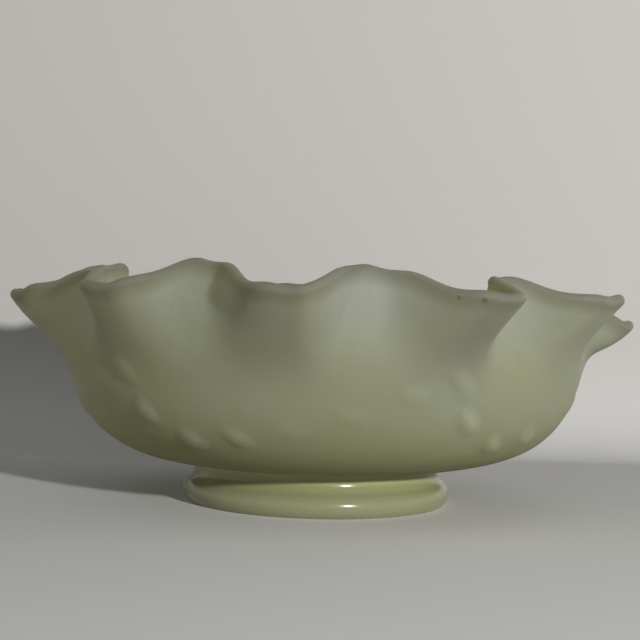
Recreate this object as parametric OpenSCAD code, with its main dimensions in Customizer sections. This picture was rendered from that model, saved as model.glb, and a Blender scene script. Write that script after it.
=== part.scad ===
// Footed glass dish with a crimped rim, in millimetres.
// The foot stands on the plane z = 0 with its axis on Z, and the front of the dish faces -Y.
// Directions round the dish are in degrees from the front, growing towards +X.

/* [Foot] */
// Widest diameter of the foot, across its rounded edge
foot_diameter = 90.4; // [80:0.2:110]
// Height of the foot, up to the wafer
foot_height = 7.2; // [6:0.2:14]
// Width of the flat ring that the foot rests on
rest_ring = 10; // [5:0.5:15]
// Depth of the hollow under the foot
hollow_depth = 3.5; // [1:0.5:5]

/* [Joining wafer] */
// Height of the wafer of glass that joins the bowl to the foot
wafer_height = 7; // [3:0.2:8]
// Radius of the hollow curve that runs from the foot's edge up to the wafer's waist
cove_radius = 5; // [1:0.2:6]

/* [Bowl] */
// Diameter of the bowl at its shoulder, where the ruffle starts
body_diameter = 170; // [150:1:200]
// Height of the shoulder above the bowl's base
shoulder_height = 26.8; // [20:0.2:36]
// Height of the tallest folds of the rim above the bowl's base
bowl_height = 65.4; // [58:0.1:90]
// Thickness of the wall
wall = 3.6; // [2.4:0.1:4.4]
// Thickness of the glass in the middle of the base
base_thickness = 5; // [3.5:0.1:8]
// How far the belly drifts sideways from the foot's axis
belly_drift = 2; // [0:0.5:3]

/* [Crimped rim] */
// Number of crimped lobes
crimps = 10; // [8:1:11]
// Direction of the first lobe
first_lobe = -88; // [-180:1:180]
// How far the lobes lean out past the shoulder
lobe_reach = 16; // [10:0.5:20]
// How far the lobes droop below the tallest folds
lobe_droop = 11; // [6:0.5:14]
// How far the folds reach out past the shoulder; below 0 they lean in
fold_reach = -2; // [-5:0.5:6]
// Number of small scallops along the edge
scallops = 40; // [30:1:46]
// Depth of the scallops
scallop_depth = 1; // [0.2:0.1:1.6]

/* [Leaf garlands] */
// Number of garlands round the bowl
garlands = 5; // [3:1:6]
// Direction in which the first garland starts
first_garland = -44; // [-180:1:180]
// Length of one leaf
leaf_length = 13; // [8:0.5:16]
// Width of one leaf
leaf_width = 8; // [5:0.5:10]
// Height of a leaf above the wall
leaf_height = 1.2; // [0.4:0.1:2]

/* [Hidden] */
$fn = 96;

glass_colour = [0.72, 0.75, 0.58];
foot_colour = [0.70, 0.74, 0.50];

// Foot: its edge is a circle, cut flat below by the rest ring and above by the wafer.
edge_radius = 0.64 * foot_height;
edge_level = 0.48 * foot_height;
edge_rise = foot_height - edge_level;
edge_middle = foot_diameter / 2 - edge_radius;
rest_radius = edge_middle + sqrt(pow(edge_radius, 2) - pow(edge_level, 2));
foot_top_radius = edge_middle + sqrt(pow(edge_radius, 2) - pow(edge_rise, 2));
hollow_radius = rest_radius - rest_ring;
hollow_slope = 2;
// Wafer: it covers the flat top of the foot, its cove goes on smoothly from the foot's edge,
// and above the cove it goes straight up for at least this much.
wafer_lip = 0.3;
cove = min(cove_radius, (wafer_height - wafer_lip) * edge_radius / edge_rise);
cove_level = edge_rise * cove / edge_radius;
cove_middle = foot_top_radius + (foot_top_radius - edge_middle) * cove / edge_radius;
waist_radius = cove_middle - cove;

// Bowl: its flat base sits on the wafer and is a little wider than the waist.
base_margin = 0.5;
base_radius = waist_radius + base_margin;
base_level = foot_height + wafer_height;
body_radius = body_diameter / 2;
belly = body_radius - base_radius;
// The belly is a curve with two handles: one along the base and one below the shoulder.
base_pull = 0.54 * belly;
belly_pull = [-0.125 * belly, -0.71 * shoulder_height];
base_edge = [base_radius, 0];
shoulder = [body_radius, shoulder_height];
belly_curve = [base_edge, base_edge + [base_pull, 0], shoulder + belly_pull, shoulder];
// The ruffle is a curve too: it leaves the shoulder the way the belly ends, and leans at the rim.
ruffle_height = bowl_height - shoulder_height;
shoulder_pull = 0.4 * ruffle_height;
rim_pull = 0.38 * ruffle_height;
// Angles of the wall at the rim, from level: lobes lie back and folds stand up.
lobe_lean = 38;
fold_lean = 100;
// Above 1, a lobe is flatter along its edge and steeper at its sides.
lobe_flatness = 1.25;
// Share of the ruffle's rise at which the scallops start.
scallop_start = 0.4;

// Work of the hand, lobe by lobe round the rim: turn in degrees, reach and droop in millimetres,
// how much more upright the lobe is at its edge and how far its foot is turned back from its tip,
// in degrees, and how far it runs before and after its tip, in shares of the pitch.
pitch = 360 / crimps;
hand_turn = [0, 9, 11.5, 13, 4, 1, 2, 2, 0, -9];
hand_reach = [2.5, -2, 3, 3, 4, 5, 1, 4, 3, 0];
hand_droop = [2.5, -2, -3.2, -2.2, -1.5, 8, 3.5, 1.5, 0.5, 0.5];
hand_lean = [16, 14, 16, 9, 8, 8, 4, 8, 8, 6];
hand_skew = [0, 0, 3, 5.5, 0, 0, 0, 0, 0, 0];
run_before = [0.78, 0.42, 0.54, 0.58, 0.5, 0.62, 0.54, 0.54, 0.54, 0.54];
run_after = [0.96, 0.5, 0.32, 0.21, 0.62, 0.54, 0.54, 0.54, 0.54, 0.47];
// The fold that follows each lobe sags by this much.
fold_sag = [4, 0, 0.5, 2.5, 9.5, 9, 10, 8, 5.5, 2];

// One garland, leaf by leaf: place along the garland's span, place up the wall (1 is the shoulder),
// tilt in degrees and height as a share of a full leaf.
garland = [
    [0.00, 1.125, -46, 0.7],
    [0.05, 0.87, -50, 1.0],
    [0.19, 0.69, -44, 1.0],
    [0.35, 0.73, -33, 0.9],
    [0.52, 0.80, -15, 0.35],
    [0.69, 0.91, 0, 0.35],
    [0.86, 1.045, 8, 0.4]
];
garland_span = 360 / garlands;
// Above 1, a leaf runs out softly into the wall.
leaf_softness = 1.4;
// The leaves lie between these places on the wall.
leaf_band = [0.4, 1.6];

// The wall is a grid of points: columns round the dish, and rows up the outside, over the rim and
// down the inside. A row's place runs from 0 at the base through 1 at the shoulder to 2 at the rim.
columns = 4 * scallops;
outer_rows = [
    0, 0.2, 0.4, 0.5, 0.58, 0.66, 0.74, 0.82, 0.9,
    1, 1.08, 1.16, 1.25, 1.36, 1.5, 1.64, 1.78, 1.9, 2
];
inner_rows = [2, 1.85, 1.65, 1.45, 1.2, 1, 0.85, 0.7, 0.5, 0.25, 0];
rim_rounds = [45, 90, 135];
// Below this place the wall thickens towards the base.
thickening = 0.7;
// Length of wall over which the belly's drift sets in and dies out.
drift_run = 0.6;
// Small steps in degrees and in place, over which the slope of the wall is taken.
slope_turn = 1;
slope_rise = 0.02;

function pick(list, k) = list[(k % len(list) + len(list)) % len(list)];
function turn_back(a) = a - 360 * floor((a + 180) / 360);
function mix(a, b, share) = a + (b - a) * share;
function ease(x) = x * x * (3 - 2 * x);
function soft_ease(x) = pow(x, 3) * (10 - 15 * x + 6 * x * x);
function unit(v) = v / norm(v);
function curve(p, t) =
    pow(1 - t, 3) * p[0] + 3 * pow(1 - t, 2) * t * p[1] + 3 * (1 - t) * t * t * p[2] + pow(t, 3) * p[3];

// How much of lobe k there is in direction a: 1 at its tip, 0 in the folds beside it.
// The rise runs from 0 at the shoulder to 1 at the rim.
function lobe_tip(k) = first_lobe + k * pitch + pick(hand_turn, k);
function lobe_share(k, a, rise) =
    let (
        turn = turn_back(a - lobe_tip(k) + pick(hand_skew, k) * (1 - rise)),
        run = pitch * (turn < 0 ? pick(run_before, k) : pick(run_after, k)),
        x = min(abs(turn) / run, 1)
    )
    soft_ease(1 - pow(x, lobe_flatness));

// Height of the folds in direction a, eased from one fold to the next.
function fold_top(a) =
    let (
        place = (a - first_lobe) / pitch - 0.5,
        k = floor(place)
    )
    bowl_height - mix(pick(fold_sag, k), pick(fold_sag, k + 1), ease(place - k));

function total(list, i = 0) = i < len(list) ? list[i] + total(list, i + 1) : 0;

// The rim in direction a, with lobes placed as at that rise: [radius, height, lean].
function rim(a, rise) =
    let (
        top = fold_top(a),
        lobes = [0 : crimps - 1],
        shares = [for (k = lobes) lobe_share(k, a, rise)],
        out = total([for (k = lobes) shares[k] * (lobe_reach + pick(hand_reach, k) - fold_reach)]),
        down = total([for (k = lobes) shares[k] * (top - bowl_height + lobe_droop + pick(hand_droop, k))]),
        over = total([for (k = lobes) shares[k] * (fold_lean - lobe_lean - pick(hand_lean, k))])
    )
    [body_radius + fold_reach + out, top - down, fold_lean - over];

// A point of the smooth outside wall, as [radius, height above the base].
shoulder_way = unit(-belly_pull);
function wall_section(a, place) =
    place <= 1
        ? curve(belly_curve, place)
        : let (
              rise = place - 1,
              edge = rim(a, rise),
              way = [cos(edge[2]), sin(edge[2])],
              fade = pow(max(rise - scallop_start, 0) / (1 - scallop_start), 2),
              dip = scallop_depth * (0.5 - 0.5 * cos(scallops * a)) * fade,
              tip = [edge[0], edge[1]],
              handles = [shoulder + shoulder_pull * shoulder_way, tip - rim_pull * way]
          )
          curve([shoulder, handles[0], handles[1], tip], rise) - dip * way;

// The belly's drift is full below the shoulder and dies out towards the base and the rim.
function drift(place) =
    belly_drift * ease(min(place / drift_run, 1)) * ease(min(max(1 + drift_run - place, 0) / drift_run, 1));
function swing(section, a) = [section[0] * sin(a), -section[0] * cos(a), base_level + section[1]];
function wall_point(a, place) = swing(wall_section(a, place), a) + [drift(place), 0, 0];

// The wall's outward normal and its upward direction, from small steps along it.
function wall_across(a, place) = wall_point(a + slope_turn, place) - wall_point(a - slope_turn, place);
function wall_up(a, place) =
    wall_point(a, min(place + slope_rise, 2)) - wall_point(a, max(place - slope_rise, 0));
function wall_normal(a, place) = unit(cross(wall_across(a, place), wall_up(a, place)));

// The middle of a leaf, as [radius, height above the base]. Above the shoulder it goes on straight up.
function leaf_middle(place) =
    place <= 1
        ? curve(belly_curve, place)
        : shoulder + 3 * shoulder_pull * (place - 1) * shoulder_way;

// How far one leaf lifts the wall at a turn from the garland's start and a section of the wall.
function leaf_lift(leaf, turn, section) =
    let (
        middle = leaf_middle(leaf[1]),
        across = turn_back(turn - leaf[0] * garland_span) * PI / 180 * section[0],
        up = sign(section[1] - middle[1]) * norm(section - middle),
        along = across * cos(leaf[2]) + up * sin(leaf[2]),
        aside = up * cos(leaf[2]) - across * sin(leaf[2]),
        spread = pow(2 * along / leaf_length, 2) + pow(2 * aside / leaf_width, 2)
    )
    leaf_height * leaf[3] * pow(max(1 - spread, 0), leaf_softness);

function relief(a, place) =
    place < leaf_band[0] || place > leaf_band[1]
        ? 0
        : let (section = wall_section(a, place))
          max([
              for (g = [0 : garlands - 1], leaf = garland)
                  leaf_lift(leaf, a - first_garland - g * garland_span, section)
          ]);

function outer_point(a, place) = wall_point(a, place) + relief(a, place) * wall_normal(a, place);
function thickness(place) = mix(wall, base_thickness, max(1 - place / thickening, 0));
function inner_point(a, place) = wall_point(a, place) - thickness(place) * wall_normal(a, place);

// The rounded edge: half a circle from the outside to the inside, over the top of the wall.
function rim_point(a, angle) =
    let (
        outside = wall_point(a, 2),
        inside = inner_point(a, 2),
        middle = (outside + inside) / 2
    )
    middle + cos(angle) * (outside - middle) + sin(angle) * wall / 2 * unit(wall_up(a, 2));

directions = [for (c = [0 : columns - 1]) c * 360 / columns];
// The rows follow each other from the base up the outside, over the edge and down to the floor inside.
function wall_rows() = concat(
    [for (place = outer_rows) [for (a = directions) outer_point(a, place)]],
    [for (angle = rim_rounds) [for (a = directions) rim_point(a, angle)]],
    [for (place = inner_rows) [for (a = directions) inner_point(a, place)]]
);

module foot() {
    color(foot_colour)
    rotate_extrude() difference() {
        union() {
            square([edge_middle, foot_height]);
            translate([edge_middle, edge_level]) circle(edge_radius);
        }
        translate([0, -foot_height]) square([foot_diameter, foot_height]);
        translate([0, foot_height]) square([foot_diameter, foot_height]);
        polygon([
            [0, 0],
            [hollow_radius, 0],
            [hollow_radius - hollow_slope, hollow_depth],
            [0, hollow_depth]
        ]);
    }
}

module joining_wafer() {
    color(foot_colour)
    translate([0, 0, foot_height])
    rotate_extrude() difference() {
        square([foot_top_radius, wafer_height]);
        translate([cove_middle, cove_level]) circle(cove);
        translate([waist_radius, cove_level]) square([foot_top_radius, wafer_height]);
    }
}

module bowl() {
    rows = wall_rows();
    last = len(rows) - 1;
    under = columns * len(rows);
    floor_middle = under + 1;
    points = concat(
        [for (row = rows) each row],
        [[0, 0, base_level], [0, 0, base_level + base_thickness]]
    );
    sides = [
        for (j = [0 : last - 1], c = [0 : columns - 1])
            let (a = j * columns + c, b = j * columns + (c + 1) % columns)
            each [[a, a + columns, b + columns], [a, b + columns, b]]
    ];
    ends = [
        for (c = [0 : columns - 1])
            let (next = (c + 1) % columns)
            each [[under, c, next], [floor_middle, last * columns + next, last * columns + c]]
    ];
    color(glass_colour)
    polyhedron(points, concat(sides, ends));
}

foot();
joining_wafer();
bowl();
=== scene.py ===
"""Footed glass dish with a crimped rim: its bowl, joining wafer and foot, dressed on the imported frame."""

import math

import bmesh
import bpy
import numpy as np
from bpy.props import FloatProperty, FloatVectorProperty, IntProperty, PointerProperty
from mathutils import Matrix, Vector


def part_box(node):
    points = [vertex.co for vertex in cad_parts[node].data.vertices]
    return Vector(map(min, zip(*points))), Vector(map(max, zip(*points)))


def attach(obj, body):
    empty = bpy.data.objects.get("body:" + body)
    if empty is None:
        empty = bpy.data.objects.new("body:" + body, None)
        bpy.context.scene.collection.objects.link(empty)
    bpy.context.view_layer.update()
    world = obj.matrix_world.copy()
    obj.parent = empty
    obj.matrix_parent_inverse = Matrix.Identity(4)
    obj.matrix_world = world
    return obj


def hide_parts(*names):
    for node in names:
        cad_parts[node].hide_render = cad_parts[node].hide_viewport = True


bl_info = {
    "name": "Footed glass dish",
    "version": (1, 0, 0),
    "blender": (4, 5, 0),
    "location": "3D View > Sidebar > Glass dish",
    "description": "Builds a footed dish of pale satin glass with a crimped rim and leaf garlands",
    "category": "Add Mesh",
}

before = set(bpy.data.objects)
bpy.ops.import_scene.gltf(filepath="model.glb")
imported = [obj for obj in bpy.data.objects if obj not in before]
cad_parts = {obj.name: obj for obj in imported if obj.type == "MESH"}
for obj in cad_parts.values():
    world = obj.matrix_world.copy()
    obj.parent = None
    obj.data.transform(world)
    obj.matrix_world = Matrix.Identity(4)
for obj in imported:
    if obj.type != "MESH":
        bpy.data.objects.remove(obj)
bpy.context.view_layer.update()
FOOT_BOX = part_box("foot")
WAFER_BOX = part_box("joining_wafer")
BOWL_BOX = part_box("bowl")
MM = 0.001
# Distance in metres within which a cut takes a point as lying on it.
EXACT = 0.000001

# Work of the hand round the rim, lobe by lobe: turn in degrees, reach and droop in millimetres,
# how much more upright the lobe is at its edge and how far its foot is turned back from its tip,
# in degrees, and how far it runs before and after its tip, in shares of the pitch.
HAND_TURN = (0, 9, 11.5, 13, 4, 1, 2, 2, 0, -9)
HAND_REACH = (2.5, -2, 3, 3, 4, 5, 1, 4, 3, 0)
HAND_DROOP = (2.5, -2, -3.2, -2.2, -1.5, 8, 3.5, 1.5, 0.5, 0.5)
HAND_LEAN = (16, 14, 16, 9, 8, 8, 4, 8, 8, 6)
HAND_SKEW = (0, 0, 3, 5.5, 0, 0, 0, 0, 0, 0)
RUN_BEFORE = (0.78, 0.42, 0.54, 0.58, 0.5, 0.62, 0.54, 0.54, 0.54, 0.54)
RUN_AFTER = (0.96, 0.5, 0.32, 0.21, 0.62, 0.54, 0.54, 0.54, 0.54, 0.47)
# The fold that follows each lobe sags by this many millimetres.
FOLD_SAG = (4, 0, 0.5, 2.5, 9.5, 9, 10, 8, 5.5, 2)
# How much greyer each lobe is coloured: partly the glass's own grey, partly painted shade on the lobe's
# underside.
LOBE_GREY_AND_SHADE = (0, 0.6, 0.75, 1, 0.4, 0.3, 0.5, 0.6, 0.5, 0.3)
# Leaves of one garland: place along its span, place up the wall, tilt in degrees, share of full height.
GARLAND = (
    (0.00, 1.125, -46, 0.7),
    (0.05, 0.87, -50, 1.0),
    (0.19, 0.69, -44, 1.0),
    (0.35, 0.73, -33, 0.9),
    (0.52, 0.80, -15, 0.35),
    (0.69, 0.91, 0, 0.35),
    (0.86, 1.045, 8, 0.4),
)
# Small dark specks in the glass by the rim: place and radius in metres.
RIM_SPECKS = (
    ((0.0463, -0.0912, 0.0710), 0.0012),
    ((0.0392, -0.0896, 0.0716), 0.0008),
)

# Distances within which a point is picked by its height or as a corner, and a seam is closed.
PICK = 0.01 * MM
CORNER_REACH = 0.02 * MM
SEAM = 0.002 * MM
# Points of the circles that the rounded profiles are cut from.
CIRCLE_POINTS = 192
# Angles in degrees above which the edges of the wafer and of the foot stay sharp.
WAFER_SHARP = 50
FOOT_SHARP = 20
# Shares by which the rings inside the bowl's floor and under its base shrink towards the middle.
FLOOR_INSETS = (0.7, 0.4, 0.12)
BASE_INSET = 0.5

# Noises in the glass and the paper: scale, detail and roughness.
SATIN_CLOUDS = (28.0, 3.0, 0.55)
SATIN_STREAKS = (150.0, 3.0, 0.6)
SATIN_GRAIN = (900.0, 2.0, 0.6)
SATIN_WAVES = (160.0, 2.0, 0.5)
GLOSS_CLOUDS = (40.0, 3.0, 0.55)
GLOSS_CORDS = (120.0, 2.0, 0.5)
GLOSS_SCUFFS = (700.0, 3.0, 0.7)
PAPER_FIBRES = (500.0, 3.0, 0.6)
# How the streaks and the cords are stretched along each axis.
STREAK_STRETCH = (1.0, 1.0, 0.16)
CORD_STRETCH = (0.35, 0.35, 2.2)
# Noise values between which clouds, streaks and scuffs set in.
SATIN_CLOUD_BAND = (0.38, 0.66)
SATIN_STREAK_BAND = (0.5, 0.75)
GLOSS_CLOUD_BAND = (0.42, 0.7)
GLOSS_SCUFF_BAND = (0.42, 0.6)
# Heights in metres between which the colours change; the bowl's deep colour and the wear fade out upwards.
SATIN_DEEP_BAND = (0.014, 0.040)
SATIN_PALE_BAND = (0.045, 0.075)
GLOSS_DEEP_BAND = (0.006, 0.011)
# The painted glow at the wafer's top, standing in for light in the bowl's shade, sets in between these
# heights.
GLOSS_PAINTED_GLOW_BAND = (0.0095, 0.0135)
GLOSS_WEAR_BAND = (0.0022, 0.0)
# Shares in which the colours are mixed in.
SATIN_SHARE = {"deep": 0.75, "streak": 0.16, "leaf": 0.25, "grey": 0.8, "rim": 0.85, "speck": 0.8}
GLOSS_SHARE = {"deep": 0.9, "cloud": 0.25, "wear": 0.15}
# What is added to the roughness, at the start and by each pattern.
SATIN_ROUGH = {"start": -0.05, "cloud": 0.06, "grain": 0.06, "leaf": -0.05}
GLOSS_ROUGH = {"cloud": 0.06, "wear": 0.15}
# Fine bumps of the skin: distance in metres and strength.
WAVE_BUMP = (0.00022, 0.6)
STREAK_BUMP = (0.00012, 0.5)
GRAIN_BUMP = (0.00003, 0.5)
CORD_BUMP = (0.0001, 0.5)
SCUFF_BUMP = (0.00002, 0.4)

# Reach of the paper in metres: towards the camera, to each side and up; and the steps of its curve.
PAPER_FRONT = -1.6
PAPER_HALF = 1.8
PAPER_TOP = 1.6
PAPER_STEPS = 24
# Tone of the paper against its colour: in its fibres, on the floor with an upper limit, and for light
# that it throws on other things. The floor's tone ends at a height in metres.
FIBRE_TONE = 0.97
FLOOR_TONE = 1.25
FLOOR_LIMIT = 0.95
BOUNCE_TONE = 0.38
FLOOR_END = 0.05
# What the lamps are turned to, their colour and the width of the key lamp in metres.
LAMP_AIM = Vector((0, 0, 0.045))
LAMP_COLOUR = (1.0, 0.985, 0.955)
KEY_WIDTH = 0.05
# Wide soft lamps: name, turn from the front and rise in degrees, distance and width in metres,
# and power in watts.
SOFT_LAMPS = (
    ("left_lamp", -75, 12, 1.3, 0.7, 2.2),
    ("right_lamp", 105, 9, 1.3, 0.7, 7.0),
)
# Colour of the even light, and of the surroundings as the camera sees them.
EVEN_COLOUR = (0.97, 0.985, 1.0)
SURROUNDINGS = (0.47, 0.465, 0.445)
# The camera: place and nearest sight in metres, lens and sensor in millimetres, tilt and roll in degrees.
CAMERA_SPOT = (0, -0.544, 0.080)
CAMERA_NEAREST = 0.01
CAMERA_LENS = 90.2
CAMERA_SENSOR = 36.0
CAMERA_TILT = 88
CAMERA_ROLL = 1.6


def length(label, text, default, low=0.0, high=1.0):
    """A length in metres that shows in the sidebar."""
    return FloatProperty(
        name=label,
        description=text,
        default=default,
        min=low,
        max=high,
        precision=4,
        subtype="DISTANCE",
        unit="LENGTH",
    )


def share(label, text, default):
    """A number from 0 to 1 that shows in the sidebar."""
    return FloatProperty(name=label, description=text, default=default, min=0.0, max=1.0, subtype="FACTOR")


def count(label, text, default, low, high):
    """A whole number that shows in the sidebar."""
    return IntProperty(name=label, description=text, default=default, min=low, max=high)


def colour(label, text, default):
    """A linear colour that shows in the sidebar."""
    return FloatVectorProperty(
        name=label, description=text, default=default, size=3, min=0.0, max=1.0, subtype="COLOR"
    )


def turn_of(label, text, default):
    """An angle that shows in the sidebar."""
    return FloatProperty(
        name=label, description=text, default=math.radians(default), subtype="ANGLE", unit="ROTATION"
    )


class DishBowlSizes(bpy.types.PropertyGroup):
    """Sizes of the bowl, its crimped rim and its leaf garlands"""

    base_level: length("Base level", "Height of the bowl's base above the table", BOWL_BOX[0].z)
    base_diameter: length("Base", "Diameter of the flat base", 0.0833)
    body_diameter: length("Shoulder", "Diameter at the shoulder, where the ruffle starts", 0.170)
    shoulder_height: length("Shoulder height", "Height of the shoulder above the base", 0.0268)
    bowl_height: length("Height", "Height of the tallest folds above the base", 0.0654)
    wall: length("Wall", "Thickness of the wall", 0.0036)
    base_thickness: length("Base thickness", "Thickness of the glass in the middle of the base", 0.005)
    belly_drift: length("Belly drift", "How far the belly drifts sideways from the foot's axis", 0.002)
    crimps: count("Crimps", "Number of crimped lobes", 10, 3, 20)
    first_lobe: turn_of("First lobe", "Direction of the first lobe, from the front", -88)
    lobe_reach: length("Lobe reach", "How far the lobes lean out past the shoulder", 0.016)
    lobe_droop: length("Lobe droop", "How far the lobes droop below the tallest folds", 0.011)
    fold_reach: length("Fold reach", "How far the folds reach past the shoulder", -0.002, low=-0.005)
    scallops: count("Scallops", "Number of small scallops along the edge", 40, 8, 80)
    scallop_depth: length("Scallop depth", "Depth of the scallops", 0.001)
    garlands: count("Garlands", "Number of leaf garlands", 5, 1, 8)
    first_garland: turn_of("First garland", "Direction in which the first garland starts", -44)
    leaf_length: length("Leaf length", "Length of one leaf", 0.013)
    leaf_width: length("Leaf width", "Width of one leaf", 0.008)
    leaf_height: length("Leaf height", "Height of a leaf above the wall", 0.0012)
    columns: count("Columns", "Points round the wall", 560, 40, 800)


class DishFootSizes(bpy.types.PropertyGroup):
    """Sizes of the foot and the joining wafer"""

    diameter: length("Foot", "Widest diameter of the foot", FOOT_BOX[1].x - FOOT_BOX[0].x)
    height: length("Foot height", "Height of the foot", FOOT_BOX[1].z)
    edge_radius: length("Edge radius", "Radius of the foot's rounded edge", 0.004608)
    edge_level: length("Edge level", "Height of the middle of the rounded edge", 0.003456)
    rest_ring: length("Rest ring", "Width of the ring that the foot rests on", 0.010)
    hollow_depth: length("Hollow", "Depth of the hollow under the foot", 0.0035)
    hollow_slope: length("Hollow slope", "How far the hollow's side leans in", 0.002)
    corner: length("Corner", "Rounding of the rest ring's corners", 0.0009)
    cove: length("Cove", "Radius of the hollow curve round the wafer", 0.005)
    wafer_top: length("Wafer top", "Height of the wafer's top above the table", WAFER_BOX[1].z)
    steps: count("Steps", "Steps of the spin", 192, 24, 360)


class DishGlass(bpy.types.PropertyGroup):
    """Colours and finish of the glass"""

    satin: colour("Satin glass", "Colour of the bowl where it is thin", (0.325, 0.345, 0.245))
    satin_deep: colour("Deep satin", "Colour of the bowl where it is thick", (0.285, 0.285, 0.125))
    satin_pale: colour("Pale satin", "Colour of the bowl towards its thin rim", (0.40, 0.43, 0.335))
    satin_warm: colour("Warm cloud", "Warmer clouds in the bowl's glass", (0.325, 0.335, 0.225))
    # Grey of the lobes: partly the glass's own colour, partly painted shade on their undersides.
    satin_grey_and_shade: colour("Grey satin", "Colour of the lobes that were drawn out", (0.225, 0.225, 0.175))
    # Painted light: the leaves are coloured lighter, standing in for the lamp catching their domes.
    satin_leaf_painted_light: colour("Leaf satin", "Colour of the leaves", (0.42, 0.44, 0.34))
    satin_rim: colour("Rim satin", "Colour of the rim's edge", (0.17, 0.17, 0.14))
    gloss: colour("Gloss glass", "Colour of the foot", (0.345, 0.355, 0.205))
    gloss_deep: colour("Deep gloss", "Colour of the wafer, where the glass is thickest", (0.35, 0.37, 0.165))
    # Painted glow: a light colour at the top of the wafer, where the bowl shades it, standing in for light
    # carried through the glass.
    gloss_painted_glow: colour("Core gloss", "Colour of the glow right under the bowl", (0.76, 0.78, 0.37))
    gloss_wear: colour("Worn gloss", "Colour of the scuffs by the rest ring", (0.47, 0.48, 0.38))
    speck: colour("Specks", "Colour of the small specks in the glass", (0.10, 0.10, 0.09))
    satin_roughness: share("Satin roughness", "Roughness of the bowl", 0.58)
    gloss_roughness: share("Gloss roughness", "Roughness of the foot", 0.16)


class DishStage(bpy.types.PropertyGroup):
    """Floor, backdrop, key lamp and even light"""

    paper: colour("Paper", "Colour of the floor and backdrop", (0.83, 0.82, 0.79))
    wall_distance: length("Backdrop", "Distance of the backdrop behind the dish", 0.17)
    sweep_radius: length("Sweep", "Radius of the curve from the floor to the backdrop", 0.05)
    key_turn: turn_of("Key lamp turn", "Direction of the key lamp, from the front", 28)
    key_rise: turn_of("Key lamp rise", "Height of the key lamp as an angle", 12.5)
    key_distance: length("Key lamp distance", "Distance of the key lamp", 1.1, high=10.0)
    key_power: FloatProperty(
        name="Key lamp power", description="Power of the key lamp", default=8.2, min=0.0, unit="POWER"
    )
    ambient: share("Ambient", "Strength of the even light all round", 0.08)


PIECE_GROUPS = ("glass_dish_bowl", "glass_dish_foot", "glass_dish_glass", "glass_dish_stage")


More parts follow.
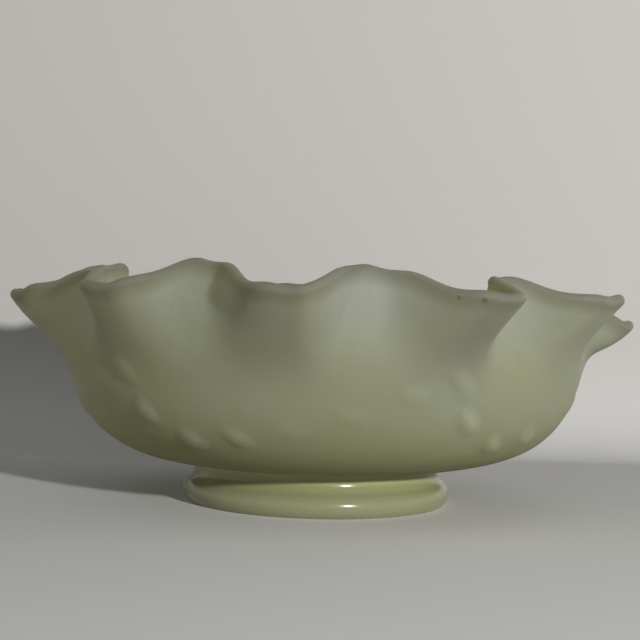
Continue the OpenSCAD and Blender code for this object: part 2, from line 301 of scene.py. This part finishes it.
class BowlForm:
    """The bowl's wall as a formula of a direction round the dish, in degrees, and a place up the wall."""

    # The belly's handles: out from the base, then in and down from the shoulder, as shares of its size.
    handles = (0.54, 0.125, 0.71)
    # The ruffle's handles at the shoulder and at the rim, as shares of its height.
    pulls = (0.4, 0.38)
    # Lean of the folds and of the lobes at the rim, in degrees.
    leans = (100, 38)
    # Power by which the lobes' tips are flattened.
    flatness = 1.25
    # Shares of the ruffle's rise: where the scallops start, where the grey with its painted shade is full,
    # and the rim's band.
    scallop_start = 0.4
    grey_rise = 0.45
    rim_band = 0.12
    # Places up the wall between which leaves can lie.
    leaf_band = (0.4, 1.6)
    # Power that shapes the leaves' domes.
    leaf_softness = 1.4
    # Places up the wall: where the base's extra thickness ends, and over how much the belly drifts.
    thickening = 0.7
    drift_run = 0.6
    # Steps over which slopes are taken: round the dish in degrees, and up the wall.
    turn_step = 1.0
    place_step = 0.02
    # Steps from ring to ring: up the belly, up the ruffle, over the edge and down the inside.
    belly_rings = 48
    ruffle_rings = 40
    edge_rings = 8
    inside_rings = 40

    def __init__(self, sizes):
        self.sizes = sizes
        self.pitch = 360 / sizes.crimps
        self.first_lobe = math.degrees(sizes.first_lobe)
        self.first_garland = math.degrees(sizes.first_garland)
        self.base_radius = sizes.base_diameter / 2
        self.body_radius = sizes.body_diameter / 2
        belly = self.body_radius - self.base_radius
        base_edge = np.array([self.base_radius, 0.0])
        self.shoulder = np.array([self.body_radius, sizes.shoulder_height])
        pull = np.array([-self.handles[1] * belly, -self.handles[2] * sizes.shoulder_height])
        base_handle = base_edge + [self.handles[0] * belly, 0]
        self.belly = (base_edge, base_handle, self.shoulder + pull, self.shoulder)
        self.shoulder_way = -pull / np.linalg.norm(pull)
        ruffle = sizes.bowl_height - sizes.shoulder_height
        self.shoulder_pull = self.pulls[0] * ruffle
        self.rim_pull = self.pulls[1] * ruffle

    @staticmethod
    def curve(points, t):
        """A point of a cubic curve with two handles."""
        a, b, c, d = points
        return (1 - t) ** 3 * a + 3 * (1 - t) ** 2 * t * b + 3 * (1 - t) * t * t * c + t**3 * d

    @staticmethod
    def ease(x):
        return x * x * (3 - 2 * x)

    @staticmethod
    def turn_back(a):
        return a - 360 * np.floor((a + 180) / 360)

    def lobe_share(self, k, a, rise):
        """How much of lobe k there is in each direction: 1 at its tip, 0 in the folds beside it."""
        i = k % len(HAND_TURN)
        tip = self.first_lobe + k * self.pitch + HAND_TURN[i]
        turn = self.turn_back(a - tip + HAND_SKEW[i] * (1 - rise))
        run = self.pitch * np.where(turn < 0, RUN_BEFORE[i], RUN_AFTER[i])
        x = np.minimum(np.abs(turn) / run, 1)
        s = 1 - x**self.flatness
        return s**3 * (10 - 15 * s + 6 * s * s)

    def grey(self, a, place):
        """How grey the glass is, partly as painted shade: not at all up to the shoulder, and most in the
        lobes towards the rim.
        """
        rise = max(place - 1, 0)
        grey = np.zeros_like(a)
        for k in range(self.sizes.crimps):
            grey += LOBE_GREY_AND_SHADE[k % len(LOBE_GREY_AND_SHADE)] * self.lobe_share(k, a, rise)
        return np.minimum(grey, 1) * self.ease(min(rise / self.grey_rise, 1))

    def fold_top(self, a):
        """Height of the folds, eased from one fold to the next."""
        sag = np.array(FOLD_SAG) * MM
        place = (a - self.first_lobe) / self.pitch - 0.5
        k = np.floor(place).astype(int)
        here = sag[k % len(sag)]
        after = sag[(k + 1) % len(sag)]
        return self.sizes.bowl_height - here - (after - here) * self.ease(place - k)

    def rim(self, a, rise):
        """Radius and height of the rim and its lean in degrees, with the lobes placed as at that rise."""
        s = self.sizes
        top = self.fold_top(a)
        out = np.zeros_like(a)
        down = np.zeros_like(a)
        lean = np.full_like(a, self.leans[0])
        for k in range(s.crimps):
            i = k % len(HAND_REACH)
            part = self.lobe_share(k, a, rise)
            out += part * (s.lobe_reach + HAND_REACH[i] * MM - s.fold_reach)
            down += part * (top - s.bowl_height + s.lobe_droop + HAND_DROOP[i] * MM)
            lean -= part * (self.leans[0] - self.leans[1] - HAND_LEAN[i])
        return self.body_radius + s.fold_reach + out, top - down, lean

    def section(self, a, place):
        """Radius and height above the base of the smooth outside wall."""
        if place <= 1:
            return np.outer(np.ones_like(a), self.curve(self.belly, place))
        s = self.sizes
        rise = place - 1
        radius, height, lean = self.rim(a, rise)
        way = np.stack([np.cos(np.radians(lean)), np.sin(np.radians(lean))], 1)
        tip = np.stack([radius, height], 1)
        fade = (max(rise - self.scallop_start, 0) / (1 - self.scallop_start)) ** 2
        dip = s.scallop_depth * (0.5 - 0.5 * np.cos(np.radians(s.scallops * a))) * fade
        first = self.shoulder + self.shoulder_pull * self.shoulder_way
        return self.curve((self.shoulder, first, tip - self.rim_pull * way, tip), rise) - dip[:, None] * way

    def point(self, a, place):
        """A point of the smooth outside wall."""
        s = self.sizes
        set_in = self.ease(min(place / self.drift_run, 1))
        die_out = self.ease(min(max(1 + self.drift_run - place, 0) / self.drift_run, 1))
        section = self.section(a, place)
        t = np.radians(a)
        return np.stack(
            [
                section[:, 0] * np.sin(t) + s.belly_drift * set_in * die_out,
                -section[:, 0] * np.cos(t),
                s.base_level + section[:, 1],
            ],
            1,
        )

    def up(self, a, place):
        """Direction up the wall."""
        step = self.place_step
        way = self.point(a, min(place + step, 2)) - self.point(a, max(place - step, 0))
        return way / np.linalg.norm(way, axis=1)[:, None]

    def normal(self, a, place):
        """Outward direction of the wall."""
        step = self.turn_step
        across = self.point(a + step, place) - self.point(a - step, place)
        way = np.cross(across, self.up(a, place))
        return way / np.linalg.norm(way, axis=1)[:, None]

    def leaf_middle(self, place):
        """Radius and height of a leaf's middle; above the shoulder it goes on straight up."""
        if place <= 1:
            return self.curve(self.belly, place)
        return self.shoulder + 3 * self.shoulder_pull * (place - 1) * self.shoulder_way

    def relief(self, a, place):
        """How far the leaves lift the wall."""
        lift = np.zeros_like(a)
        if not self.leaf_band[0] <= place <= self.leaf_band[1]:
            return lift
        s = self.sizes
        span = 360 / s.garlands
        section = self.section(a, place)
        for g in range(s.garlands):
            turn = a - self.first_garland - g * span
            for along_span, up_wall, tilt, height in GARLAND:
                middle = self.leaf_middle(up_wall)
                across = np.radians(self.turn_back(turn - along_span * span)) * section[:, 0]
                up = np.sign(section[:, 1] - middle[1]) * np.linalg.norm(section - middle, axis=1)
                t = math.radians(tilt)
                along = across * math.cos(t) + up * math.sin(t)
                aside = up * math.cos(t) - across * math.sin(t)
                spread = (2 * along / s.leaf_length) ** 2 + (2 * aside / s.leaf_width) ** 2
                dome = np.maximum(1 - spread, 0) ** self.leaf_softness
                lift = np.maximum(lift, s.leaf_height * height * dome)
        return lift

    def thickness(self, place):
        s = self.sizes
        return s.wall + (s.base_thickness - s.wall) * max(1 - place / self.thickening, 0)

    def outside(self, a, place):
        return self.point(a, place) + self.relief(a, place)[:, None] * self.normal(a, place)

    def inside(self, a, place):
        return self.point(a, place) - self.thickness(place) * self.normal(a, place)

    def edge(self, a, angle):
        """The rounded rim: half a circle from the outside to the inside, over the top of the wall."""
        outer = self.point(a, 2)
        middle = (outer + self.inside(a, 2)) / 2
        lift = math.sin(angle) * self.sizes.wall / 2 * self.up(a, 2)
        return middle + math.cos(angle) * (outer - middle) + lift

    def rings(self):
        """Rings from the base up the outside, over the rim and down to the floor.

        Each comes with its points as a formula, its place up the wall and whether it is outside.
        """
        belly = np.linspace(0, 1, self.belly_rings + 1)[1:]
        ruffle = np.linspace(1, 2, self.ruffle_rings + 1)[1:]
        for place in (*belly, *ruffle):
            yield lambda a, p=place: self.outside(a, p), place, True
        for step in range(1, self.edge_rings):
            yield lambda a, t=math.pi * step / self.edge_rings: self.edge(a, t), 2, False
        for place in np.linspace(2, 0, self.inside_rings + 1):
            yield lambda a, p=place: self.inside(a, p), place, False


def deselect_all():
    """Nothing selected, in object mode."""
    if bpy.context.object is not None and bpy.context.object.mode != "OBJECT":
        bpy.ops.object.mode_set(mode="OBJECT")
    bpy.ops.object.select_all(action="DESELECT")


def start_circle(name, vertices, radius, location, rotation=(0, 0, 0)):
    """A circle of points as a new piece in edit mode, with its place in its mesh."""
    deselect_all()
    bpy.ops.mesh.primitive_circle_add(vertices=vertices, radius=radius, location=location, rotation=rotation)
    piece = bpy.context.object
    piece.name = name
    piece.data.name = name
    bpy.ops.object.transform_apply(location=True, rotation=True, scale=True)
    bpy.ops.object.mode_set(mode="EDIT")
    bpy.ops.mesh.select_mode(type="VERT")
    bpy.ops.mesh.select_all(action="SELECT")
    return piece


def select_where(piece, test):
    """Selects the points of the piece in edit mode for which the test holds."""
    bpy.ops.mesh.select_all(action="DESELECT")
    shape = bmesh.from_edit_mesh(piece.data)
    for vert in shape.verts:
        vert.select = bool(test(vert.co))
    shape.select_flush(True)
    bmesh.update_edit_mesh(piece.data)


def select_edges(piece, test):
    """Selects the edges of the piece in edit mode for whose ends the test holds."""
    bpy.ops.mesh.select_all(action="DESELECT")
    shape = bmesh.from_edit_mesh(piece.data)
    for edge in shape.edges:
        edge.select = all(test(vert.co) for vert in edge.verts)
    shape.select_flush_mode()
    bmesh.update_edit_mesh(piece.data)


def extrude_to(piece, corners):
    """Extrudes the one selected point along a line of corners in the plane y = 0."""
    for x, z in corners:
        shape = bmesh.from_edit_mesh(piece.data)
        here = next(vert.co.copy() for vert in shape.verts if vert.select)
        bpy.ops.mesh.extrude_vertices_move(TRANSFORM_OT_translate={"value": (x - here.x, 0, z - here.z)})


def round_corners(piece, corners, radius, segments=5):
    """Rounds the profile's points that lie on the corners."""
    select_where(piece, lambda co: any(abs(co.x - x) + abs(co.z - z) < CORNER_REACH for x, z in corners))
    bpy.ops.mesh.bevel(affect="VERTICES", offset=radius, segments=segments, profile=0.5)


def spin_profile(piece, steps):
    """Spins the profile in the plane y = 0 round the axis, and closes its seam and poles."""
    bpy.ops.mesh.select_all(action="SELECT")
    bpy.ops.mesh.spin(steps=steps, angle=2 * math.pi, use_auto_merge=True, center=(0, 0, 0), axis=(0, 0, 1))
    bpy.ops.mesh.select_all(action="SELECT")
    bpy.ops.mesh.remove_doubles(threshold=SEAM)
    bpy.ops.mesh.normals_make_consistent(inside=False)


def finish_piece(piece, node, material, sharp=None):
    """Leaves edit mode, smooths the piece, gives it its glass and ties it to the frame."""
    bpy.ops.object.mode_set(mode="OBJECT")
    if sharp is None:
        bpy.ops.object.shade_smooth()
    else:
        bpy.ops.object.shade_smooth_by_angle(angle=math.radians(sharp))
    piece.data.materials.clear()
    piece.data.materials.append(material)
    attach(piece, "root")
    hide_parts(node)


class Wire:
    """A value in a node tree that takes part in Python sums and adds Math nodes for them."""

    def __init__(self, finish, socket):
        self.finish = finish
        self.socket = socket

    def math(self, operation, other):
        return self.finish.add("ShaderNodeMath", {"operation": operation}, {0: self, 1: other})

    def __add__(self, other):
        return self.math("ADD", other)

    __radd__ = __add__

    def __mul__(self, other):
        return self.math("MULTIPLY", other)


class Finish:
    """The node tree of a material or of the world."""

    def __init__(self, holder):
        self.holder = holder
        holder.use_nodes = True
        self.tree = holder.node_tree
        self.tree.nodes.clear()

    def add(self, kind, settings=None, sockets=None, output=0):
        """A node of that type: its settings first, then the values or links of its sockets."""
        node = self.tree.nodes.new(kind)
        for key, value in (settings or {}).items():
            setattr(node, key, value)
        for key, value in (sockets or {}).items():
            if isinstance(value, Wire):
                self.tree.links.new(value.socket, node.inputs[key])
            else:
                node.inputs[key].default_value = value
        return Wire(self, node.outputs[output]) if node.outputs else node

    def mix(self, first, second, amount):
        """A colour between two colours."""
        ends = {6: opaque(first), 7: opaque(second), 0: amount}
        return self.add("ShaderNodeMix", {"data_type": "RGBA", "clamp_factor": True}, ends, output=2)

    def noise(self, where, kind):
        """Cloudy noise from 0 to 1, of a kind given as scale, detail and roughness."""
        scale, detail, roughness = kind
        sockets = {"Vector": where, "Scale": scale, "Detail": detail, "Roughness": roughness}
        return self.add("ShaderNodeTexNoise", None, sockets)

    def between(self, value, low, high, start=0.0, end=1.0):
        """A smooth step of the value from start at low to end at high."""
        ends = {"Value": value, "From Min": low, "From Max": high, "To Min": start, "To Max": end}
        return self.add("ShaderNodeMapRange", {"interpolation_type": "SMOOTHSTEP"}, ends)

    def place(self):
        """Where on the piece the point lies, in metres."""
        return self.add("ShaderNodeTexCoord", output=3)

    def stretched(self, where, scale):
        """The place with each axis at its own scale."""
        return self.add("ShaderNodeMapping", None, {"Vector": where, "Scale": scale})

    def part(self, where, axis):
        """One coordinate of a place."""
        return self.add("ShaderNodeSeparateXYZ", None, {"Vector": where}, output=axis)

    def attribute(self, name):
        """A number stored at the points of the piece."""
        settings = {"attribute_type": "GEOMETRY", "attribute_name": name}
        return self.add("ShaderNodeAttribute", settings, output=2)

    def near(self, where, spot, radius):
        """1 within the radius of a spot, falling smoothly to 0 just outside it."""
        reach = self.add("ShaderNodeVectorMath", {"operation": "DISTANCE"}, {0: where, 1: spot}, output=1)
        return self.between(reach, 0.5 * radius, radius, 1.0, 0.0)

    def bump(self, height, size, below=None):
        """The surface raised by a height, by a size of distance and strength, on top of another bump."""
        distance, strength = size
        sockets = {"Height": height, "Distance": distance, "Strength": strength}
        if below is not None:
            sockets["Normal"] = below
        return self.add("ShaderNodeBump", None, sockets)

    def seen(self):
        """1 for what the camera sees, straight or in gloss or through glass, and 0 for other light."""
        kinds = ("Is Camera Ray", "Is Glossy Ray", "Is Transmission Ray")
        rays = [self.add("ShaderNodeLightPath", output=kind) for kind in kinds]
        return self.between(rays[0] + rays[1] + rays[2], 0.0, 1.0)

    def glass(self, **sockets):
        """The shader of the glass, wired to the material's output."""
        named = {key.replace("_", " "): value for key, value in sockets.items()}
        shader = self.add("ShaderNodeBsdfPrincipled", None, named)
        self.add("ShaderNodeOutputMaterial", None, {"Surface": shader})
        return self.holder


def opaque(value):
    """A colour with full alpha, where it isn't a link already."""
    return value if isinstance(value, Wire) else (*value, 1.0)


def satin_glass(glass):
    """Satin glass of the bowl: cloudy, streaked, painted lighter on the leaves, darker in the lobes partly
    as painted shade, and darker at the rim.
    """
    finish = Finish(bpy.data.materials.new("satin_glass_bowl"))
    place = finish.place()
    height = finish.part(place, 2)
    leaf = finish.attribute("leaf")
    rim = finish.attribute("rim_edge")
    clouds = finish.noise(place, SATIN_CLOUDS)
    streaks = finish.noise(finish.stretched(place, STREAK_STRETCH), SATIN_STREAKS)
    grain = finish.noise(place, SATIN_GRAIN)
    depth = finish.between(height, *SATIN_DEEP_BAND, 1.0, 0.0)
    base = finish.mix(glass.satin, glass.satin_warm, finish.between(clouds, *SATIN_CLOUD_BAND))
    base = finish.mix(base, glass.satin_pale, finish.between(height, *SATIN_PALE_BAND))
    base = finish.mix(base, glass.satin_deep, depth * SATIN_SHARE["deep"])
    streaked = finish.between(streaks, *SATIN_STREAK_BAND)
    base = finish.mix(base, glass.satin_deep, streaked * SATIN_SHARE["streak"])
    # Painted light: the leaves are mixed lighter, standing in for the lamp catching their domes.
    base = finish.mix(base, glass.satin_leaf_painted_light, leaf * SATIN_SHARE["leaf"])
    # Greyer lobes: partly the glass's own grey, partly painted shade on their undersides.
    base = finish.mix(base, glass.satin_grey_and_shade, finish.attribute("grey") * SATIN_SHARE["grey"])
    base = finish.mix(base, glass.satin_rim, rim * SATIN_SHARE["rim"])
    for spot, radius in RIM_SPECKS:
        base = finish.mix(base, glass.speck, finish.near(place, spot, radius) * SATIN_SHARE["speck"])
    roughness = glass.satin_roughness + SATIN_ROUGH["start"] + clouds * SATIN_ROUGH["cloud"]
    roughness = roughness + grain * SATIN_ROUGH["grain"] + leaf * SATIN_ROUGH["leaf"]
    skin = finish.bump(finish.noise(place, SATIN_WAVES), WAVE_BUMP)
    skin = finish.bump(streaks, STREAK_BUMP, skin)
    skin = finish.bump(grain, GRAIN_BUMP, skin)
    return finish.glass(
        Base_Color=base,
        Roughness=roughness,
        Normal=skin,
        IOR=1.5,
        Specular_IOR_Level=0.18,
        Subsurface_Weight=0.9,
        Subsurface_Radius=(1.0, 0.92, 0.5),
        Subsurface_Scale=0.03,
        Coat_Weight=0.04,
        Coat_Roughness=0.4,
    )


def gloss_glass(glass):
    """Glossy glass of the foot and wafer: yellower where it is thick, with a painted glow under the bowl,
    faint cords and wear below.
    """
    finish = Finish(bpy.data.materials.new("gloss_glass_foot"))
    place = finish.place()
    height = finish.part(place, 2)
    clouds = finish.noise(place, GLOSS_CLOUDS)
    cords = finish.noise(finish.stretched(place, CORD_STRETCH), GLOSS_CORDS)
    scuffs = finish.noise(place, GLOSS_SCUFFS)
    wear = finish.between(height, *GLOSS_WEAR_BAND) * finish.between(scuffs, *GLOSS_SCUFF_BAND)
    depth = finish.between(height, *GLOSS_DEEP_BAND)
    base = finish.mix(glass.gloss, glass.gloss_deep, depth * GLOSS_SHARE["deep"])
    # Painted glow: lighter towards the top of the wafer, in the bowl's shade.
    base = finish.mix(base, glass.gloss_painted_glow, finish.between(height, *GLOSS_PAINTED_GLOW_BAND))
    cloudy = finish.between(clouds, *GLOSS_CLOUD_BAND)
    base = finish.mix(base, glass.gloss_deep, cloudy * GLOSS_SHARE["cloud"])
    base = finish.mix(base, glass.gloss_wear, wear * GLOSS_SHARE["wear"])
    roughness = glass.gloss_roughness + clouds * GLOSS_ROUGH["cloud"] + wear * GLOSS_ROUGH["wear"]
    skin = finish.bump(cords, CORD_BUMP)
    skin = finish.bump(scuffs, SCUFF_BUMP, skin)
    return finish.glass(
        Base_Color=base,
        Roughness=roughness,
        Normal=skin,
        IOR=1.52,
        Specular_IOR_Level=0.25,
        Coat_Weight=0.3,
        Coat_Roughness=0.08,
    )


class GLASSDISH_OT_bowl(bpy.types.Operator):
    """Draw the bowl ring by ring from its base, over the crimped rim and down to its floor"""

    bl_idname = "glassdish.bowl"
    bl_label = "Bowl"

    def execute(self, context):
        sizes = context.scene.glass_dish_bowl
        form = BowlForm(sizes)
        bowl = start_circle("bowl_glass", sizes.columns, form.base_radius, (0, 0, sizes.base_level))
        self.mark_turns(bowl)
        for points, place, outside in form.rings():
            bpy.ops.mesh.extrude_edges_move()
            self.set_ring(bowl, form, points, place, outside)
        middle = (0, 0, sizes.base_level + sizes.base_thickness)
        for inset in FLOOR_INSETS:
            bpy.ops.mesh.extrude_edges_move()
            bpy.ops.transform.resize(value=(inset, inset, 1), center_override=middle)
        bpy.ops.mesh.extrude_edges_move()
        bpy.ops.mesh.merge(type="CENTER")
        bpy.ops.mesh.select_all(action="DESELECT")
        bpy.ops.mesh.select_non_manifold()
        bpy.ops.mesh.extrude_edges_move()
        middle = (0, 0, sizes.base_level)
        bpy.ops.transform.resize(value=(BASE_INSET, BASE_INSET, 1), center_override=middle)
        bpy.ops.mesh.extrude_edges_move()
        bpy.ops.mesh.merge(type="CENTER")
        bpy.ops.mesh.select_all(action="SELECT")
        bpy.ops.mesh.normals_make_consistent(inside=False)
        finish_piece(bowl, "bowl", satin_glass(context.scene.glass_dish_glass))
        bowl.data.attributes.remove(bowl.data.attributes["turn"])
        return {"FINISHED"}

    @staticmethod
    def mark_turns(bowl):
        """Stores each point's direction round the dish, which every extruded ring then carries on."""
        shape = bmesh.from_edit_mesh(bowl.data)
        for name in ("turn", "leaf", "rim_edge", "grey"):
            shape.verts.layers.float.new(name)
        # A new layer moves the older ones, so this one is fetched after all are made.
        turn = shape.verts.layers.float["turn"]
        for vert in shape.verts:
            vert[turn] = math.degrees(math.atan2(vert.co.x, -vert.co.y))
        bmesh.update_edit_mesh(bowl.data)

    @staticmethod
    def set_ring(bowl, form, points, place, outside):
        """Puts the ring that was just extruded where the form says, inside the solid's box."""
        shape = bmesh.from_edit_mesh(bowl.data)
        layers = shape.verts.layers.float
        ring = [vert for vert in shape.verts if vert.select]
        turns = np.array([vert[layers["turn"]] for vert in ring])
        spots = np.clip(points(turns), np.array(BOWL_BOX[0]), np.array(BOWL_BOX[1]))
        relief = form.relief(turns, place) if outside else np.zeros_like(turns)
        lifts = relief / form.sizes.leaf_height
        rim = max(1 - (2 - place) / form.rim_band, 0)
        for vert, spot, lift, grey in zip(ring, spots, lifts, form.grey(turns, place)):
            vert.co = spot
            vert[layers["leaf"]] = lift
            vert[layers["rim_edge"]] = rim
            # The grey attribute holds the lobes' grey together with its painted shade.
            vert[layers["grey"]] = grey
        bmesh.update_edit_mesh(bowl.data, loop_triangles=False)


class GLASSDISH_OT_wafer(bpy.types.Operator):
    """Draw the coved profile of the joining wafer and spin it"""

    bl_idname = "glassdish.wafer"
    bl_label = "Joining wafer"

    def execute(self, context):
        sizes = context.scene.glass_dish_foot
        edge_middle = sizes.diameter / 2 - sizes.edge_radius
        level = sizes.height
        rise = level - sizes.edge_level
        lean = math.sqrt(sizes.edge_radius**2 - rise**2)
        stretch = 1 + sizes.cove / sizes.edge_radius
        middle = (edge_middle + lean * stretch, 0, sizes.edge_level + rise * stretch)
        wafer = start_circle("wafer_glass", CIRCLE_POINTS, sizes.cove, middle, (math.pi / 2, 0, 0))
        for spot, way in ((middle, (-1, 0, 0)), (middle, (0, 0, -1)), ((0, 0, level), (0, 0, 1))):
            bpy.ops.mesh.select_all(action="SELECT")
            bpy.ops.mesh.bisect(plane_co=spot, plane_no=way, clear_inner=True, threshold=EXACT)
        select_where(wafer, lambda co: co.z > middle[2] - PICK)
        extrude_to(wafer, [(middle[0] - sizes.cove, sizes.wafer_top), (0, sizes.wafer_top)])
        select_where(wafer, lambda co: co.z < level + PICK)
        extrude_to(wafer, [(0, level)])
        spin_profile(wafer, sizes.steps)
        material = gloss_glass(context.scene.glass_dish_glass)
        finish_piece(wafer, "joining_wafer", material, WAFER_SHARP)
        return {"FINISHED"}


class GLASSDISH_OT_foot(bpy.types.Operator):
    """Draw the profile of the foot with its rounded edge, rest ring and hollow, and spin it"""

    bl_idname = "glassdish.foot"
    bl_label = "Foot"

    def execute(self, context):
        sizes = context.scene.glass_dish_foot
        edge_middle = sizes.diameter / 2 - sizes.edge_radius
        rest = edge_middle + math.sqrt(sizes.edge_radius**2 - sizes.edge_level**2)
        hollow = rest - sizes.rest_ring
        roof = sizes.hollow_depth
        middle = (edge_middle, 0, sizes.edge_level)
        foot = start_circle("foot_glass", CIRCLE_POINTS, sizes.edge_radius, middle, (math.pi / 2, 0, 0))
        for spot, way in ((middle, (1, 0, 0)), ((0, 0, 0), (0, 0, 1)), ((0, 0, sizes.height), (0, 0, -1))):
            bpy.ops.mesh.select_all(action="SELECT")
            bpy.ops.mesh.bisect(plane_co=spot, plane_no=way, clear_inner=True, threshold=EXACT)
        select_where(foot, lambda co: co.z < PICK)
        extrude_to(foot, [(hollow, 0), (hollow - sizes.hollow_slope, roof), (0, roof)])
        select_where(foot, lambda co: co.z > sizes.height - PICK)
        extrude_to(foot, [(0, sizes.height)])
        round_corners(foot, [(hollow, 0), (hollow - sizes.hollow_slope, roof)], sizes.corner)
        spin_profile(foot, sizes.steps)
        finish_piece(foot, "foot", bpy.data.materials["gloss_glass_foot"], FOOT_SHARP)
        return {"FINISHED"}


class GLASSDISH_OT_stage(bpy.types.Operator):
    """Set up the pale floor and backdrop, the lamps, the even light and the camera"""

    bl_idname = "glassdish.stage"
    bl_label = "Stage"

    def execute(self, context):
        stage = context.scene.glass_dish_stage
        self.sweep(stage)
        self.lamps(stage)
        self.ambient(context.scene, stage)
        self.camera(context.scene)
        context.scene.view_settings.view_transform = "Standard"
        return {"FINISHED"}

    @staticmethod
    def sweep(stage):
        """Floor and backdrop in one sheet, curved where they meet."""
        back = stage.wall_distance
        deselect_all()
        bpy.ops.mesh.primitive_plane_add(size=1, location=(0, 0, 0))
        sheet = bpy.context.object
        sheet.name = "paper_sweep"
        bpy.ops.object.mode_set(mode="EDIT")
        bpy.ops.transform.resize(value=(2 * PAPER_HALF, back - PAPER_FRONT, 1))
        bpy.ops.transform.translate(value=(0, (back + PAPER_FRONT) / 2, 0))
        bpy.ops.mesh.select_mode(type="EDGE")
        select_edges(sheet, lambda co: co.y > back - MM)
        bpy.ops.mesh.extrude_edges_move(TRANSFORM_OT_translate={"value": (0, 0, PAPER_TOP)})
        select_edges(sheet, lambda co: co.y > back - MM and abs(co.z) < MM)
        bpy.ops.mesh.bevel(offset=stage.sweep_radius, segments=PAPER_STEPS, affect="EDGES")
        bpy.ops.object.mode_set(mode="OBJECT")
        bpy.ops.object.shade_smooth()
        sheet.data.materials.append(paper(stage))

    @staticmethod
    def lamps(stage):
        """A small key lamp to the upper right of the camera and wide soft ones at the left and the right."""
        key = ("key_lamp", stage.key_turn, stage.key_rise, stage.key_distance, KEY_WIDTH, stage.key_power)
        soft = [(lamp[0], *map(math.radians, lamp[1:3]), *lamp[3:]) for lamp in SOFT_LAMPS]
        for name, turn, rise, far, width, power in (key, *soft):
            deselect_all()
            flat = far * math.cos(rise)
            way = Vector((flat * math.sin(turn), -flat * math.cos(turn), far * math.sin(rise)))
            bpy.ops.object.light_add(type="AREA", location=LAMP_AIM + way)
            lamp = bpy.context.object
            lamp.name = name
            lamp.rotation_euler = way.to_track_quat("Z", "Y").to_euler()
            lamp.data.shape = "DISK"
            lamp.data.size = width
            lamp.data.energy = power
            lamp.data.color = LAMP_COLOUR
            # Only the key lamp shows as a highlight.
            lamp.visible_glossy = name == "key_lamp"

    @staticmethod
    def ambient(scene, stage):
        """Even light all round, which the camera sees as pale paper."""
        scene.world = bpy.data.worlds.new("even_light")
        finish = Finish(scene.world)
        even = {"Color": opaque(EVEN_COLOUR), "Strength": stage.ambient}
        light = finish.add("ShaderNodeBackground", None, even)
        shown = finish.add("ShaderNodeBackground", None, {"Color": opaque(SURROUNDINGS)})
        pick = finish.add("ShaderNodeMixShader", None, {0: finish.seen(), 1: light, 2: shown})
        finish.add("ShaderNodeOutputWorld", None, {"Surface": pick})

    @staticmethod
    def camera(scene):
        """A camera at rim height, turned a little down and rolled a little, as in the photograph."""
        deselect_all()
        bpy.ops.object.camera_add(location=CAMERA_SPOT)
        camera = bpy.context.object
        camera.name = "photo_camera"
        camera.data.lens = CAMERA_LENS
        camera.data.sensor_width = CAMERA_SENSOR
        camera.data.clip_start = CAMERA_NEAREST
        tilt = Matrix.Rotation(math.radians(CAMERA_TILT), 4, "X")
        roll = Matrix.Rotation(math.radians(CAMERA_ROLL), 4, "Z")
        camera.matrix_world = Matrix.Translation(camera.location) @ tilt @ roll
        scene.camera = camera


def paper(stage):
    """Matt pale paper, seen only from its front."""
    finish = Finish(bpy.data.materials.new("pale_paper"))
    place = finish.place()
    fibres = finish.noise(place, PAPER_FIBRES)
    height = finish.part(place, 2)
    floor = [min(FLOOR_TONE * c, FLOOR_LIMIT) for c in stage.paper]
    tone = finish.mix(stage.paper, [FIBRE_TONE * c for c in stage.paper], fibres)
    tone = finish.mix(floor, tone, finish.between(height, 0.0, FLOOR_END))
    tone = finish.mix([BOUNCE_TONE * c for c in stage.paper], tone, finish.seen())
    shader = finish.add("ShaderNodeBsdfDiffuse", None, {"Color": tone})
    clear = finish.add("ShaderNodeBsdfTransparent")
    behind = finish.add("ShaderNodeNewGeometry", output=6)
    shown = finish.add("ShaderNodeMixShader", None, {0: behind, 1: shader, 2: clear})
    finish.add("ShaderNodeOutputMaterial", None, {"Surface": shown})
    return finish.holder


class GLASSDISH_PT_sidebar(bpy.types.Panel):
    """Sizes, colours and steps of the glass dish"""

    bl_label = "Glass dish"
    bl_idname = "GLASSDISH_PT_sidebar"
    bl_space_type = "VIEW_3D"
    bl_region_type = "UI"
    bl_category = "Glass dish"

    def draw(self, context):
        for step in STEPS:
            self.layout.operator(step.bl_idname)
        for name in PIECE_GROUPS:
            group = getattr(context.scene, name)
            box = self.layout.box()
            for key in group.__annotations__:
                box.prop(group, key)


GROUPS = dict(zip(PIECE_GROUPS, (DishBowlSizes, DishFootSizes, DishGlass, DishStage)))
STEPS = (GLASSDISH_OT_bowl, GLASSDISH_OT_wafer, GLASSDISH_OT_foot, GLASSDISH_OT_stage)
CLASSES = (*GROUPS.values(), *STEPS, GLASSDISH_PT_sidebar)


def register():
    for cls in CLASSES:
        bpy.utils.register_class(cls)
    for name, group in GROUPS.items():
        setattr(bpy.types.Scene, name, PointerProperty(type=group))


def unregister():
    for name in GROUPS:
        delattr(bpy.types.Scene, name)
    for cls in reversed(CLASSES):
        bpy.utils.unregister_class(cls)


def main():
    register()
    bpy.ops.glassdish.bowl()
    bpy.ops.glassdish.wafer()
    bpy.ops.glassdish.foot()
    bpy.ops.glassdish.stage()
    bpy.context.view_layer.update()


if __name__ == "__main__":
    main()
